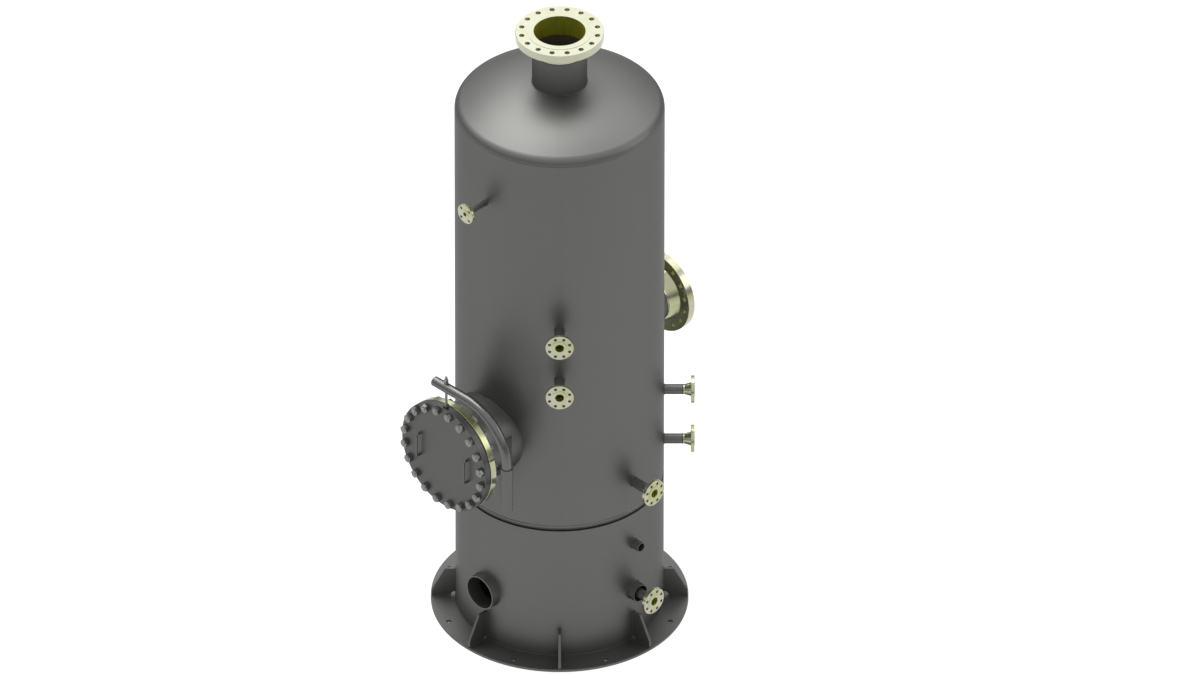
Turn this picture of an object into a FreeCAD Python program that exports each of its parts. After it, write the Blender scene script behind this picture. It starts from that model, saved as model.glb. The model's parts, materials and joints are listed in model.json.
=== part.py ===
import FreeCAD, Part
import math
import os
from collections import namedtuple

# Gas scrubber vessel on a skirt. Millimetres.
# Origin at the centre of the base ring's underside, +Z up the vessel's axis.
# The manway faces -Y, the drain faces +X and the gas inlet faces +Y.

# Vessel wall and heads
shell_inside = 1200.0
wall = 16.0
bottom_tangent = 953.0
lower_course = 1287.0
top_tangent = 3527.0
head_crown_radius = 1200.0
head_knuckle_radius = 48.0
seam_groove = 3.0

# Skirt and base
skirt_wall = 16.0
skirt_root = 4.3
base_inner_reach = 50.0
base_reach = 147.0
base_thick = 16.0
anchor_reach = 94.0
anchor_count = 8
anchor_hole = 30.0
gusset_thick = 16.0
gusset_height = 194.0
gusset_top_width = 60.0
gusset_set_back = 6.0
gusset_foot_height = 42.0
gusset_drain_radius = 30.0

# Openings in the skirt
access_pipe = 219.1
access_wall = 8.2
access_height = 367.0
access_reach = 51.0
vent_pipe_outside = 60.3
vent_wall = 3.9
vent_height = 703.0
vent_reach = 64.0
sleeve_inside_reach = 32.0

# Flanged nozzles: pipe, weld-neck flange and bolting of each size
raised_face = 1.6
edge_chamfer = 1.5
hub_land_share = 0.12

main_pipe = 323.9
main_pipe_wall = 9.5
main_flange_outside = 520.7
main_flange_thick = 50.8
main_face_outside = 381.0
main_hub = 374.7
main_hub_length = 130.2
main_circle = 450.85
main_holes = 16
main_hole = 31.8

level_pipe = 60.3
level_pipe_wall = 3.9
level_flange_outside = 165.1
level_flange_thick = 22.4
level_face_outside = 92.1
level_hub = 84.1
level_hub_length = 69.9
level_circle = 127.0
level_holes = 8
level_hole = 19.1

tap_pipe = 33.4
tap_pipe_wall = 3.4
tap_flange_outside = 123.8
tap_flange_thick = 17.5
tap_face_outside = 50.8
tap_hub = 54.0
tap_hub_length = 62.0
tap_circle = 88.9
tap_holes = 4
tap_hole = 19.1

# Where the nozzles are. A projection is from the shell's outside to the flange's face.
outlet_above_tangent = 545.0
inlet_projection = 254.0
inlet_height = 1806.0
front_projection = 181.0
front_lower_height = 2007.0
front_spacing = 356.0
right_projection = 181.0
right_lower_height = 1150.0
right_spacing = 357.0
side_projection = 175.0
side_height = 1150.0
tap_projection = 167.0
tap_below_tangent = 376.0

# Drain line under the bottom head
drain_projection = 175.0
drain_height = 367.0
drain_bend_radius = 76.2
drain_sleeve_pipe = 114.3
drain_sleeve_wall = 6.0
drain_sleeve_reach = 60.0

# Manway
manway_height = 1500.0
manway_projection = 300.0
manway_pipe = 508.0
manway_pipe_wall = 12.7
manway_hub_wall = 25.4
manway_hub_length = 73.0
manway_flange_thick = 42.9
manway_holes = 20
bolt_to_hub = 38.1
bolt_to_rim = 31.75
face_past_hub = 12.7
neck_set_back = 8.0
gasket_thick = 3.0
gasket_set_back = 6.0
stud = 28.6
stud_clearance = 3.2
stud_past_nut = 4.0
nut_flats = 46.0
nut_height = 25.0

# Handles on the cover
handle_spread = 197.0
handle_length = 152.0
handle_rod = 14.0
handle_stand_off = 30.0
handle_bend = 14.0

# Davit that carries the cover
davit_pipe = 60.3
davit_wall = 5.5
davit_side_gap = 116.25
davit_tail = 90.0
davit_bend_radius = 327.0
davit_cap_thick = 6.0
davit_clearance = 1.25
davit_sleeve_wall = 5.1
davit_sleeve_length = 300.0
davit_sleeve_floor = 8.0
bracket_thick = 12.0
bracket_width = 60.0
lift_rod = 16.0
lift_rod_free = 82.1
lift_rod_past_nuts = 18.0
lift_rod_clearance = 2.0
lift_nut_flats = 24.0
lift_nut_height = 13.0
lift_washer = 30.0
lift_washer_edge = 3.0
lug_pin_rise = 14.0
lug_radius = 13.0
lug_thick = 6.0
lug_side_gap = 0.5
lift_eye_thick = 12.0
lug_pin = 10.0
lug_pin_clearance = 0.5
lug_pin_head = 16.0
lug_pin_head_thick = 3.0

# Inside the vessel
pad_height = 2825.0
pad_thick = 150.0
pad_side_gap = 0.5
grid_depth = 25.0
grid_bar = 6.0
grid_rim = 12.0
grid_spacing = 120.0
grid_side_gap = 3.0
ring_width = 50.0
ring_thick = 10.0
baffle_width = 460.0
baffle_depth = 220.0
baffle_above = 240.0
baffle_below = 260.0
baffle_plate = 12.0
breaker_vane = 110.0
breaker_rise = 90.0
breaker_plate = 8.0
breaker_lid = 180.0

# Bearings of the nozzles, degrees from +X towards +Y
towards_drain = 0.0
towards_right_pair = 45.0
towards_inlet = 90.0
towards_manway = 270.0
towards_front_pair = 315.0

inside_radius = shell_inside / 2
outside_radius = inside_radius + wall
girth_seam = bottom_tangent + lower_course

skirt_inside = outside_radius - skirt_wall
base_inside = 2 * (skirt_inside - base_inner_reach)
base_outside = 2 * (outside_radius + base_reach)
anchor_circle = 2 * (outside_radius + anchor_reach)

outlet_face = top_tangent + outlet_above_tangent
inlet_face = outside_radius + inlet_projection
front_face = outside_radius + front_projection
right_face = outside_radius + right_projection
side_face = outside_radius + side_projection
tap_face = outside_radius + tap_projection
drain_face = outside_radius + drain_projection
front_upper_height = front_lower_height + front_spacing
right_upper_height = right_lower_height + right_spacing
tap_height = top_tangent - tap_below_tangent

manway_face = outside_radius + manway_projection
manway_hub = manway_pipe + 2 * manway_hub_wall
manway_circle = manway_hub + 2 * bolt_to_hub
manway_flange_outside = manway_circle + 2 * bolt_to_rim
manway_face_outside = manway_hub + 2 * face_past_hub
manway_hole = stud + stud_clearance
gasket_inside = manway_pipe + 2 * gasket_set_back
cover_back = manway_face + gasket_thick
cover_front = cover_back + manway_flange_thick

# The davit stands in the plane of the cover's middle, where the cover's weight hangs
davit_y = -(cover_back + cover_front) / 2
davit_sleeve_pipe = davit_pipe + 2 * (davit_clearance + davit_sleeve_wall)
davit_reach = manway_flange_outside / 2 + davit_side_gap + davit_sleeve_pipe / 2
lug_inner_side = lift_eye_thick / 2 + lug_side_gap
lug_outer_side = lug_inner_side + lug_thick
lug_pin_height = manway_height + manway_flange_outside / 2 + lug_pin_rise
lift_rod_shoulder = lug_pin_height + lug_radius + lug_side_gap
davit_arm_height = lift_rod_shoulder + lift_rod_free + davit_pipe / 2
davit_sleeve_top = davit_arm_height - davit_bend_radius
davit_sleeve_bottom = davit_sleeve_top - davit_sleeve_length
lift_hole = lift_rod + lift_rod_clearance
lift_nut_seat = davit_arm_height + davit_pipe / 2 + lift_washer_edge

FlangeSize = namedtuple(
    "FlangeSize", "pipe wall outside thick face hub hub_length circle holes hole")
main_size = FlangeSize(
    main_pipe, main_pipe_wall, main_flange_outside, main_flange_thick, main_face_outside,
    main_hub, main_hub_length, main_circle, main_holes, main_hole)
level_size = FlangeSize(
    level_pipe, level_pipe_wall, level_flange_outside, level_flange_thick, level_face_outside,
    level_hub, level_hub_length, level_circle, level_holes, level_hole)
tap_size = FlangeSize(
    tap_pipe, tap_pipe_wall, tap_flange_outside, tap_flange_thick, tap_face_outside,
    tap_hub, tap_hub_length, tap_circle, tap_holes, tap_hole)

# A nozzle: its size, its bearing, its height and its face's distance from the axis
Nozzle = namedtuple("Nozzle", "size bearing height face")
inlet = Nozzle(main_size, towards_inlet, inlet_height, inlet_face)
side_nozzles = {
    "front_upper": Nozzle(level_size, towards_front_pair, front_upper_height, front_face),
    "front_lower": Nozzle(level_size, towards_front_pair, front_lower_height, front_face),
    "right_upper": Nozzle(level_size, towards_right_pair, right_upper_height, right_face),
    "right_lower": Nozzle(level_size, towards_right_pair, right_lower_height, right_face),
    "low_side": Nozzle(level_size, towards_drain, side_height, side_face),
    "pressure_tap": Nozzle(tap_size, towards_manway, tap_height, tap_face),
    "inlet": inlet,
}


def vec(x, y, z):
    return FreeCAD.Vector(x, y, z)


UP = vec(0, 0, 1)


def outline(start, *steps):
    """Closed wire of (across, along) points in the XZ plane. A step of two numbers is a straight
    line to that point, and a step of four is an arc through the first pair to the second."""
    edges = []
    here = vec(start[0], 0, start[1])
    closing = () if steps[-1][-2:] == start else (start,)
    for step in steps + closing:
        there = vec(step[-2], 0, step[-1])
        if len(step) == 4:
            edges.append(Part.Arc(here, vec(step[0], 0, step[1]), there).toShape())
        else:
            edges.append(Part.LineSegment(here, there).toShape())
        here = there
    return Part.Wire(edges)


def turned(start, *steps):
    """Solid of revolution about Z of an outline given as (radius, height)."""
    return Part.Face(outline(start, *steps)).revolve(vec(0, 0, 0), UP, 360)


def rod(radius, length, start=vec(0, 0, 0), direction=UP):
    return Part.makeCylinder(radius, length, start, direction)


def tube(outside, thickness, low, high):
    """Pipe along Z from low to high."""
    body = rod(outside / 2, high - low, vec(0, 0, low))
    return body.cut(rod(outside / 2 - thickness, high - low, vec(0, 0, low)))


def box(low, high):
    size = high - low
    return Part.makeBox(size.x, size.y, size.z, low)


def outward(shape, bearing, height):
    """Lay a shape that was built along +Z on the bearing, level, at the height."""
    laid = shape.copy()
    laid.rotate(vec(0, 0, 0), vec(0, 1, 0), 90)
    laid.rotate(vec(0, 0, 0), UP, bearing)
    laid.translate(vec(0, 0, height))
    return laid


def ring_places(circle, count, turn=0.5):
    """Points on a bolt circle about Z, turned from +X by a share of the pitch."""
    for i in range(count):
        angle = 2 * math.pi * (i + turn) / count
        yield vec(circle / 2 * math.cos(angle), circle / 2 * math.sin(angle), 0)


def drill_ring(shape, circle, count, hole, low, high):
    """Drill the holes of a bolt circle about Z through a shape."""
    drills = []
    for place in ring_places(circle, count):
        drills.append(rod(hole / 2, high - low, vec(place.x, place.y, low)))
    return shape.cut(drills)


def write(name, shape):
    shape.exportStep("parts/" + name + ".step")


def dish(crown, knuckle, radius):
    """Where a dished head's crown meets its knuckle, and the crown's top, from the tangent line."""
    knuckle_centre = radius - knuckle
    crown_drop = math.sqrt((crown - knuckle) ** 2 - knuckle_centre ** 2)
    share = crown / (crown - knuckle)
    return knuckle_centre * share, crown_drop * (share - 1), crown - crown_drop


def dish_steps(crown, knuckle, radius, tangent, up):
    """Outline steps from the tangent line over the knuckle and the crown to the axis."""
    meet_radius, meet_rise, top_rise = dish(crown, knuckle, radius)
    middle = math.atan2(meet_rise, meet_radius - radius + knuckle) / 2
    crown_angle = math.asin(meet_radius / crown) / 2
    crown_centre = top_rise - crown
    knuckle_arc = (
        radius - knuckle + knuckle * math.cos(middle), tangent + up * knuckle * math.sin(middle),
        meet_radius, tangent + up * meet_rise)
    crown_arc = (
        crown * math.sin(crown_angle), tangent + up * (crown_centre + crown * math.cos(crown_angle)),
        0, tangent + up * top_rise)
    return [knuckle_arc, crown_arc]


def dome(grow, tangent, up):
    """Solid under a head's surface, from the tangent line; grow is 0 inside and the wall outside."""
    crown = head_crown_radius + grow
    knuckle = head_knuckle_radius + grow
    steps = dish_steps(crown, knuckle, inside_radius + grow, tangent, up)
    return turned((0, tangent), (inside_radius + grow, tangent), *steps)


def crown_top(grow):
    return dish(head_crown_radius + grow, head_knuckle_radius + grow, inside_radius + grow)[2]


def cavity():
    """The space inside the vessel."""
    middle = rod(inside_radius, top_tangent - bottom_tangent, vec(0, 0, bottom_tangent))
    return middle.fuse([dome(0, bottom_tangent, -1), dome(0, top_tangent, 1)])


def head(tangent, up):
    """Dished head with the shallow groove of its seam at the tangent line."""
    groove = turned(
        (outside_radius, tangent), (outside_radius, tangent + up * seam_groove),
        (outside_radius - seam_groove, tangent))
    return dome(wall, tangent, up).cut([dome(0, tangent, up), groove])


def make_heads():
    top = head(top_tangent, 1)
    write("top_head", top.cut(rod(main_pipe / 2, head_crown_radius, vec(0, 0, top_tangent))))
    bottom = head(bottom_tangent, -1)
    write("bottom_head", bottom.cut(rod(level_pipe / 2, bottom_tangent)))


def make_shell():
    """Two rolled courses. They meet flush, and each meets its head in the groove of their seam."""
    inner_groove = outside_radius - seam_groove
    lower = turned(
        (inside_radius, bottom_tangent), (inner_groove, bottom_tangent),
        (outside_radius, bottom_tangent + seam_groove), (outside_radius, girth_seam),
        (inside_radius, girth_seam))
    upper = turned(
        (inside_radius, girth_seam), (outside_radius, girth_seam),
        (outside_radius, top_tangent - seam_groove), (inner_groove, top_tangent),
        (inside_radius, top_tangent))
    drills = [outward(rod(manway_pipe / 2, manway_face), towards_manway, manway_height)]
    for nozzle in side_nozzles.values():
        drills.append(outward(rod(nozzle.size.pipe / 2, nozzle.face), nozzle.bearing, nozzle.height))
    write("shell_lower_course", lower.cut(drills))
    write("shell_upper_course", upper.cut(drills))


def weld_neck_flange(size, face):
    """Flange along Z with its raised face at the height, its hub below it and its bolt holes."""
    bore = size.pipe / 2 - size.wall
    rim = size.outside / 2
    back = face - size.thick
    land = size.hub_length * hub_land_share
    body = turned(
        (bore, face), (size.face / 2, face), (size.face / 2, face - raised_face),
        (rim - edge_chamfer, face - raised_face), (rim, face - raised_face - edge_chamfer),
        (rim, back + edge_chamfer), (rim - edge_chamfer, back), (size.hub / 2, back),
        (size.pipe / 2, face - size.hub_length + land), (size.pipe / 2, face - size.hub_length),
        (bore, face - size.hub_length))
    return drill_ring(body, size.circle, size.holes, size.hole, back, face)


def make_nozzles(space):
    for name, nozzle in side_nozzles.items():
        pipe = tube(nozzle.size.pipe, nozzle.size.wall, 0, nozzle.face - nozzle.size.hub_length)
        flange = weld_neck_flange(nozzle.size, nozzle.face)
        write(name + "_neck", outward(pipe, nozzle.bearing, nozzle.height).cut(space))
        write(name + "_flange", outward(flange, nozzle.bearing, nozzle.height))
    outlet_pipe = tube(main_pipe, main_pipe_wall, top_tangent, outlet_face - main_hub_length)
    write("outlet_neck", outlet_pipe.cut(space))
    write("outlet_flange", weld_neck_flange(main_size, outlet_face))


def base_ring():
    ring = tube(base_outside, (base_outside - base_inside) / 2, 0, base_thick)
    return drill_ring(ring, anchor_circle, anchor_count, anchor_hole, 0, base_thick)


def knuckle_height(radius):
    """Height on the bottom head's outer knuckle at a radius."""
    knuckle = head_knuckle_radius + wall
    across = radius - (outside_radius - knuckle)
    return bottom_tangent - math.sqrt(knuckle ** 2 - across ** 2)


def knuckle_radius_at(height):
    knuckle = head_knuckle_radius + wall
    return outside_radius - knuckle + math.sqrt(knuckle ** 2 - (bottom_tangent - height) ** 2)


def skirt():
    """Cylinder whose top edge is bevelled to sit against the bottom head's knuckle."""
    seat_low = knuckle_height(skirt_inside)
    top = seat_low + skirt_root
    seat_top = knuckle_radius_at(top)
    seat_middle = (skirt_inside + seat_top) / 2
    body = turned(
        (skirt_inside, base_thick), (outside_radius, base_thick), (outside_radius, top),
        (seat_top, top), (seat_middle, knuckle_height(seat_middle), skirt_inside, seat_low))
    openings = [
        outward(rod(access_pipe / 2, base_outside), towards_manway, access_height),
        outward(rod(drain_sleeve_pipe / 2, base_outside), towards_drain, drain_height),
        outward(rod(vent_pipe_outside / 2, base_outside), towards_drain, vent_height)]
    return body.cut(openings)


def gusset():
    """Stiffening plate on the +X bearing, with its drain cut-out at the inner lower corner."""
    root = skirt_inside
    top = base_thick + gusset_height
    foot_top = base_thick + gusset_foot_height
    foot = base_outside / 2 - gusset_set_back
    cut_out = gusset_drain_radius * math.sqrt(0.5)
    plate = outline(
        (outside_radius + gusset_drain_radius, base_thick), (foot, base_thick), (foot, foot_top),
        (outside_radius + gusset_top_width, top), (root, top), (root, base_thick + gusset_drain_radius),
        (outside_radius, base_thick + gusset_drain_radius),
        (outside_radius + cut_out, base_thick + cut_out,
         outside_radius + gusset_drain_radius, base_thick))
    body = Part.Face(plate).extrude(vec(0, gusset_thick, 0))
    body.translate(vec(0, -gusset_thick / 2, 0))
    return body.cut(rod(outside_radius, top, vec(0, 0, base_thick)))


def make_support():
    write("base_ring", base_ring())
    write("skirt", skirt())
    for i in range(anchor_count):
        plate = gusset()
        plate.rotate(vec(0, 0, 0), UP, 360.0 * i / anchor_count)
        write("gusset_%d" % (i + 1), plate)


def skirt_pipe(outside, thickness, reach, bearing, height):
    """Short open pipe through the skirt's wall."""
    return outward(
        tube(outside, thickness, skirt_inside - sleeve_inside_reach, outside_radius + reach),
        bearing, height)


def make_skirt_openings():
    write("access_sleeve", skirt_pipe(
        access_pipe, access_wall, access_reach, towards_manway, access_height))
    write("drain_sleeve", skirt_pipe(
        drain_sleeve_pipe, drain_sleeve_wall, drain_sleeve_reach, towards_drain, drain_height))
    write("skirt_vent", skirt_pipe(
        vent_pipe_outside, vent_wall, vent_reach, towards_drain, vent_height))


def bent_rod(points, bend, radius):
    """Round bar along straight runs joined by tangent arcs, the same radius at every corner."""
    edges = []
    here = points[0]
    for i in range(1, len(points) - 1):
        corner = points[i]
        back = (points[i - 1] - corner).normalize()
        ahead = (points[i + 1] - corner).normalize()
        half = back.getAngle(ahead) / 2
        reach = bend / math.tan(half)
        start = corner + back * reach
        end = corner + ahead * reach
        inwards = (back + ahead).normalize()
        middle = corner + inwards * (bend / math.sin(half) - bend)
        edges.append(Part.LineSegment(here, start).toShape())
        edges.append(Part.Arc(start, middle, end).toShape())
        here = end
    edges.append(Part.LineSegment(here, points[-1]).toShape())
    path = Part.Wire(edges)
    section = Part.Wire([Part.makeCircle(radius, points[0], points[1] - points[0])])
    return path.makePipeShell([section], True, True)


def bent_tube(points, bend, outside, thickness):
    bore = bent_rod(points, bend, outside / 2 - thickness)
    return bent_rod(points, bend, outside / 2).cut(bore)


def make_drain(space):
    """Drain line: down from the bottom head, round its elbow and out through the skirt."""
    points = [
        vec(0, 0, bottom_tangent), vec(0, 0, drain_height),
        vec(drain_face - level_hub_length, 0, drain_height)]
    line = bent_tube(points, drain_bend_radius, level_pipe, level_pipe_wall)
    write("drain_line", line.cut(space))
    write("drain_flange", outward(
        weld_neck_flange(level_size, drain_face), towards_drain, drain_height))


def towards_cover(shape):
    return outward(shape, towards_manway, manway_height)


def manway_neck(space):
    pipe = tube(manway_pipe, manway_pipe_wall, 0, manway_face - neck_set_back)
    return towards_cover(pipe).cut(space)


def manway_flange():
    """Slip-on flange: its bore is the neck's outside."""
    rim = manway_flange_outside / 2
    bore = manway_pipe / 2
    back = manway_face - manway_flange_thick
    hub_end = manway_face - manway_hub_length
    body = turned(
        (bore, manway_face), (manway_face_outside / 2, manway_face),
        (manway_face_outside / 2, manway_face - raised_face),
        (rim - edge_chamfer, manway_face - raised_face),
        (rim, manway_face - raised_face - edge_chamfer), (rim, back + edge_chamfer),
        (rim - edge_chamfer, back), (manway_hub / 2, back), (manway_hub / 2 - edge_chamfer, hub_end),
        (bore, hub_end))
    return towards_cover(
        drill_ring(body, manway_circle, manway_holes, manway_hole, back, manway_face))


def manway_cover():
    """Blind cover with a raised face on its inner side."""
    rim = manway_flange_outside / 2
    step = cover_back + raised_face
    body = turned(
        (0, cover_back), (manway_face_outside / 2, cover_back), (manway_face_outside / 2, step),
        (rim - edge_chamfer, step), (rim, step + edge_chamfer), (rim, cover_front - edge_chamfer),
        (rim - edge_chamfer, cover_front), (0, cover_front))
    return towards_cover(
        drill_ring(body, manway_circle, manway_holes, manway_hole, cover_back, cover_front))


def hex_nut(flats, height, hole):
    """Nut along Z from 0, with a corner on +X."""
    corners = []
    for i in range(7):
        angle = math.pi / 3 * i
        reach = flats / math.sqrt(3)
        corners.append(vec(reach * math.cos(angle), reach * math.sin(angle), 0))
    body = Part.Face(Part.makePolygon(corners)).extrude(vec(0, 0, height))
    return body.cut(rod(hole / 2, height))


def make_manway_bolting():
    """Studs through flange and cover, with a nut on each side."""
    back = manway_face - manway_flange_thick
    stud_low = back - nut_height - stud_past_nut
    stud_high = cover_front + nut_height + stud_past_nut
    studs = []
    nuts = []
    for place in ring_places(manway_circle, manway_holes):
        studs.append(rod(stud / 2, stud_high - stud_low, vec(place.x, place.y, stud_low)))
        for low in (back - nut_height, cover_front):
            nut = hex_nut(nut_flats, nut_height, stud)
            nut.rotate(vec(0, 0, 0), UP, math.degrees(math.atan2(place.y, place.x)))
            nut.translate(vec(place.x, place.y, low))
            nuts.append(nut)
    write("manway_studs", towards_cover(Part.makeCompound(studs)))
    write("manway_nuts", towards_cover(Part.makeCompound(nuts)))


def make_manway(space):
    write("manway_neck", manway_neck(space))
    write("manway_flange", manway_flange())
    write("manway_gasket", towards_cover(tube(
        manway_face_outside, (manway_face_outside - gasket_inside) / 2, manway_face, cover_back)))
    write("manway_cover", manway_cover())
    make_manway_bolting()


def make_handles():
    """Two upright D-handles welded to the cover."""
    for name, x in (("cover_handle_left", -handle_spread), ("cover_handle_right", handle_spread)):
        low = manway_height - handle_length / 2
        high = manway_height + handle_length / 2
        foot = -cover_front
        bar = foot - handle_stand_off
        points = [vec(x, foot, low), vec(x, bar, low), vec(x, bar, high), vec(x, foot, high)]
        write(name, bent_rod(points, handle_bend, handle_rod / 2))


def davit_arm():
    """Bent pipe from the sleeve's floor, up and over the manway's centre line."""
    points = [
        vec(-davit_tail, davit_y, davit_arm_height), vec(davit_reach, davit_y, davit_arm_height),
        vec(davit_reach, davit_y, davit_sleeve_bottom + davit_sleeve_floor)]
    arm = bent_tube(points, davit_bend_radius, davit_pipe, davit_wall)
    hole = rod(lift_hole / 2, 2 * davit_pipe, vec(0, davit_y, davit_arm_height - davit_pipe))
    return arm.cut(hole)


def davit_sleeve():
    """Pipe with a welded floor that the arm's foot stands on."""
    foot = vec(davit_reach, davit_y, davit_sleeve_bottom)
    seat = foot + vec(0, 0, davit_sleeve_floor)
    body = rod(davit_sleeve_pipe / 2, davit_sleeve_length, foot)
    bore_radius = davit_sleeve_pipe / 2 - davit_sleeve_wall
    return body.cut(rod(bore_radius, davit_sleeve_length, seat))


def davit_bracket(rise):
    """Level plate from the sleeve back at 45 degrees to the manway neck, clear of the flange."""
    plate = box(
        vec(0, -bracket_width / 2, -bracket_thick / 2),
        vec(davit_reach * math.sqrt(2), bracket_width / 2, bracket_thick / 2))
    plate.rotate(vec(0, 0, 0), UP, 135)
    plate.translate(vec(davit_reach, davit_y, manway_height + rise))
    sleeve_space = rod(
        davit_sleeve_pipe / 2, davit_sleeve_length, vec(davit_reach, davit_y, davit_sleeve_bottom))
    neck_space = towards_cover(rod(manway_pipe / 2, manway_face))
    pieces = plate.cut([sleeve_space, neck_space]).Solids
    return max(pieces, key=lambda piece: piece.CenterOfMass.x)


def across_lugs(radius, start, end):
    """Round bar on the lug pin's axis, from one X to another."""
    return rod(radius, end - start, vec(start, davit_y, lug_pin_height), vec(1, 0, 0))


def cover_lugs():
    """Two ears on top of the cover's rim, one each side of the rod's eye."""
    rim = towards_cover(rod(manway_flange_outside / 2, cover_front))
    pin_hole = across_lugs(lug_pin / 2 + lug_pin_clearance, -lug_outer_side, lug_outer_side)
    ears = []
    for start, end in ((lug_inner_side, lug_outer_side), (-lug_outer_side, -lug_inner_side)):
        foot = box(
            vec(start, davit_y - lug_radius, manway_height),
            vec(end, davit_y + lug_radius, lug_pin_height))
        ear = across_lugs(lug_radius, start, end).fuse(foot).removeSplitter()
        ears.append(ear.cut([rim, pin_hole]))
    return Part.makeCompound(ears)


def cover_lift_rod():
    """Rod from the lugs up through the arm and its nuts, flattened at its foot to an eye."""
    top = lift_nut_seat + 2 * lift_nut_height + lift_rod_past_nuts
    half = lift_eye_thick / 2
    shank = rod(lift_rod / 2, top - lift_rod_shoulder, vec(0, davit_y, lift_rod_shoulder))
    tang = box(
        vec(-half, davit_y - lift_rod / 2, lug_pin_height),
        vec(half, davit_y + lift_rod / 2, lift_rod_shoulder))
    eye = across_lugs(lug_radius, -half, half).fuse(tang)
    pin_hole = across_lugs(lug_pin / 2 + lug_pin_clearance, -half, half)
    return eye.fuse(shank).removeSplitter().cut(pin_hole)


def cover_lug_pin():
    """Plain pin with a head on each side of the ears."""
    outer_end = lug_outer_side + lug_pin_head_thick
    pin = across_lugs(lug_pin / 2, -outer_end, outer_end)
    heads = [
        across_lugs(lug_pin_head / 2, lug_outer_side, outer_end),
        across_lugs(lug_pin_head / 2, -outer_end, -lug_outer_side)]
    return pin.fuse(heads).removeSplitter()


def saddle_washer():
    """Washer under the rod's nuts, its lower side curved to sit on the arm."""
    low = davit_arm_height
    body = tube(lift_washer, (lift_washer - lift_hole) / 2, low, lift_nut_seat)
    body.translate(vec(0, davit_y, 0))
    return body.cut(rod(davit_pipe / 2, 2 * davit_tail, vec(-davit_tail, davit_y, low), vec(1, 0, 0)))


def lift_nuts():
    """Nut and locknut on the rod."""
    nuts = []
    for low in (lift_nut_seat, lift_nut_seat + lift_nut_height):
        nut = hex_nut(lift_nut_flats, lift_nut_height, lift_rod)
        nut.translate(vec(0, davit_y, low))
        nuts.append(nut)
    return Part.makeCompound(nuts)


def make_davit():
    write("davit_arm", davit_arm())
    write("davit_end_cap", rod(
        davit_pipe / 2, davit_cap_thick, vec(-davit_tail, davit_y, davit_arm_height), vec(-1, 0, 0)))
    write("davit_sleeve", davit_sleeve())
    between_studs = manway_circle / 2 * math.sin(2 * math.pi / manway_holes)
    write("davit_bracket_upper", davit_bracket(between_studs))
    write("davit_bracket_lower", davit_bracket(-between_studs))
    write("cover_lugs", cover_lugs())
    write("cover_lug_pin", cover_lug_pin())
    write("cover_lift_rod", cover_lift_rod())
    write("lift_rod_washer", saddle_washer())
    write("lift_rod_nuts", lift_nuts())


def grid(low):
    """Open grid of flat bars inside a rim, resting on the support ring or on the pad."""
    radius = inside_radius - grid_side_gap
    rim = tube(2 * radius, grid_rim, low, low + grid_depth)
    field = rod(radius - grid_rim, grid_depth, vec(0, 0, low))
    bars = []
    half_count = int((radius - grid_rim) // grid_spacing)
    for i in range(-half_count, half_count + 1):
        y = i * grid_spacing
        bars.append(box(
            vec(-radius, y - grid_bar / 2, low), vec(radius, y + grid_bar / 2, low + grid_depth)))
    bars.append(box(
        vec(-grid_bar / 2, -radius, low), vec(grid_bar / 2, radius, low + grid_depth)))
    lattice = bars[0].fuse(bars[1:]).common(field)
    return rim.fuse(lattice).removeSplitter()


def make_mist_eliminator():
    """Mesh pad held between two grids, on a ring welded to the shell."""
    ring_low = pad_height - grid_depth - ring_thick
    write("pad_support_ring", tube(
        2 * inside_radius, ring_width, ring_low, pad_height - grid_depth))
    write("pad_lower_grid", grid(pad_height - grid_depth))
    write("mist_pad", rod(inside_radius - pad_side_gap, pad_thick, vec(0, 0, pad_height)))
    write("pad_upper_grid", grid(pad_height + pad_thick))


def inlet_baffle(space):
    """Hood over the inlet, closed in front, above and at the sides and open below."""
    half = baffle_width / 2
    front = inside_radius - baffle_depth
    low = inlet_height - baffle_below
    high = inlet_height + baffle_above
    outer = box(vec(-half, front, low), vec(half, outside_radius, high))
    inner = box(
        vec(-half + baffle_plate, front + baffle_plate, low),
        vec(half - baffle_plate, outside_radius, high - baffle_plate))
    return outer.cut(inner).common(space)


def vortex_breaker(space):
    """Four vanes and a lid over the drain, standing on the bottom head."""
    floor = bottom_tangent - crown_top(0)
    top = floor + breaker_rise
    vanes = []
    for along, across in ((breaker_vane, breaker_plate / 2), (breaker_plate / 2, breaker_vane)):
        vanes.append(box(vec(-along, -across, floor), vec(along, across, top)))
    lid = rod(breaker_lid / 2, breaker_plate, vec(0, 0, top))
    return vanes[0].fuse([vanes[1], lid]).common(space)


def make_internals(space):
    make_mist_eliminator()
    write("inlet_baffle", inlet_baffle(space))
    write("vortex_breaker", vortex_breaker(space))


os.makedirs("parts", exist_ok=True)
vessel_space = cavity()
make_support()
make_skirt_openings()
make_heads()
make_shell()
make_nozzles(vessel_space)
make_drain(vessel_space)
make_manway(vessel_space)
make_handles()
make_davit()
make_internals(vessel_space)
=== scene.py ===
"""Gas scrubber vessel: the finishes, welds, bolting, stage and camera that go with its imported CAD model."""

import json
import math

import bmesh
import bpy
from bpy.props import FloatProperty, FloatVectorProperty, IntProperty, PointerProperty
from mathutils import Matrix, Vector


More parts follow.
